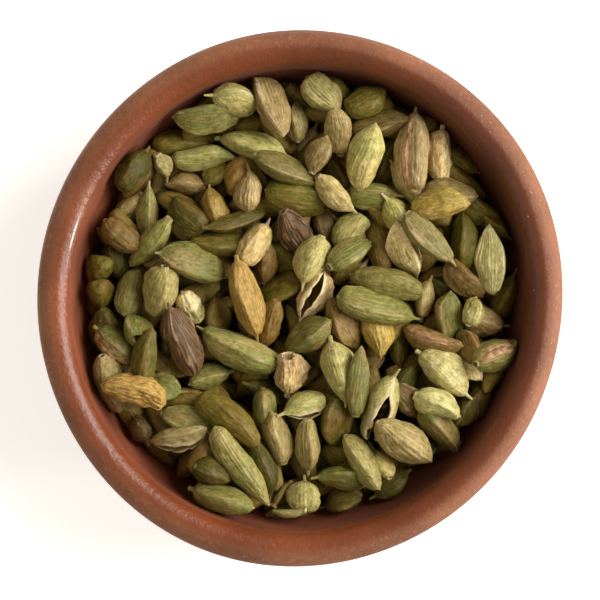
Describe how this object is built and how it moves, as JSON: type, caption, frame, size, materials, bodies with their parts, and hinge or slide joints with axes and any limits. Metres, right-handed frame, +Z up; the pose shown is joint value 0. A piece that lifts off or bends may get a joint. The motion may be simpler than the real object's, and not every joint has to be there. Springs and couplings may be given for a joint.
{
  "type": "dish of green cardamom pods",
  "caption": "Small round earthenware dish with a plump lip, filled to just below the lip with a loose heap of dried green cardamom pods.",
  "frame": {"origin": "middle of the flat foot, on the surface the dish stands on", "axes": "+Z up; +X to the right and +Y to the top of the picture, which looks straight down"},
  "size_m": [0.1188, 0.1212, 0.038],
  "materials": {
    "clay": "red-brown fired clay, matte outside, with a thin clear gloss glaze inside and over the inner half of the lip",
    "pods": "dry, papery pod skins, pale green to straw and brown, finely ribbed, with a faint waxy sheen"
  },
  "bodies": {
    "root": {"dish": "clay", "pod_heap": "pods"}
  },
  "joints": []
}
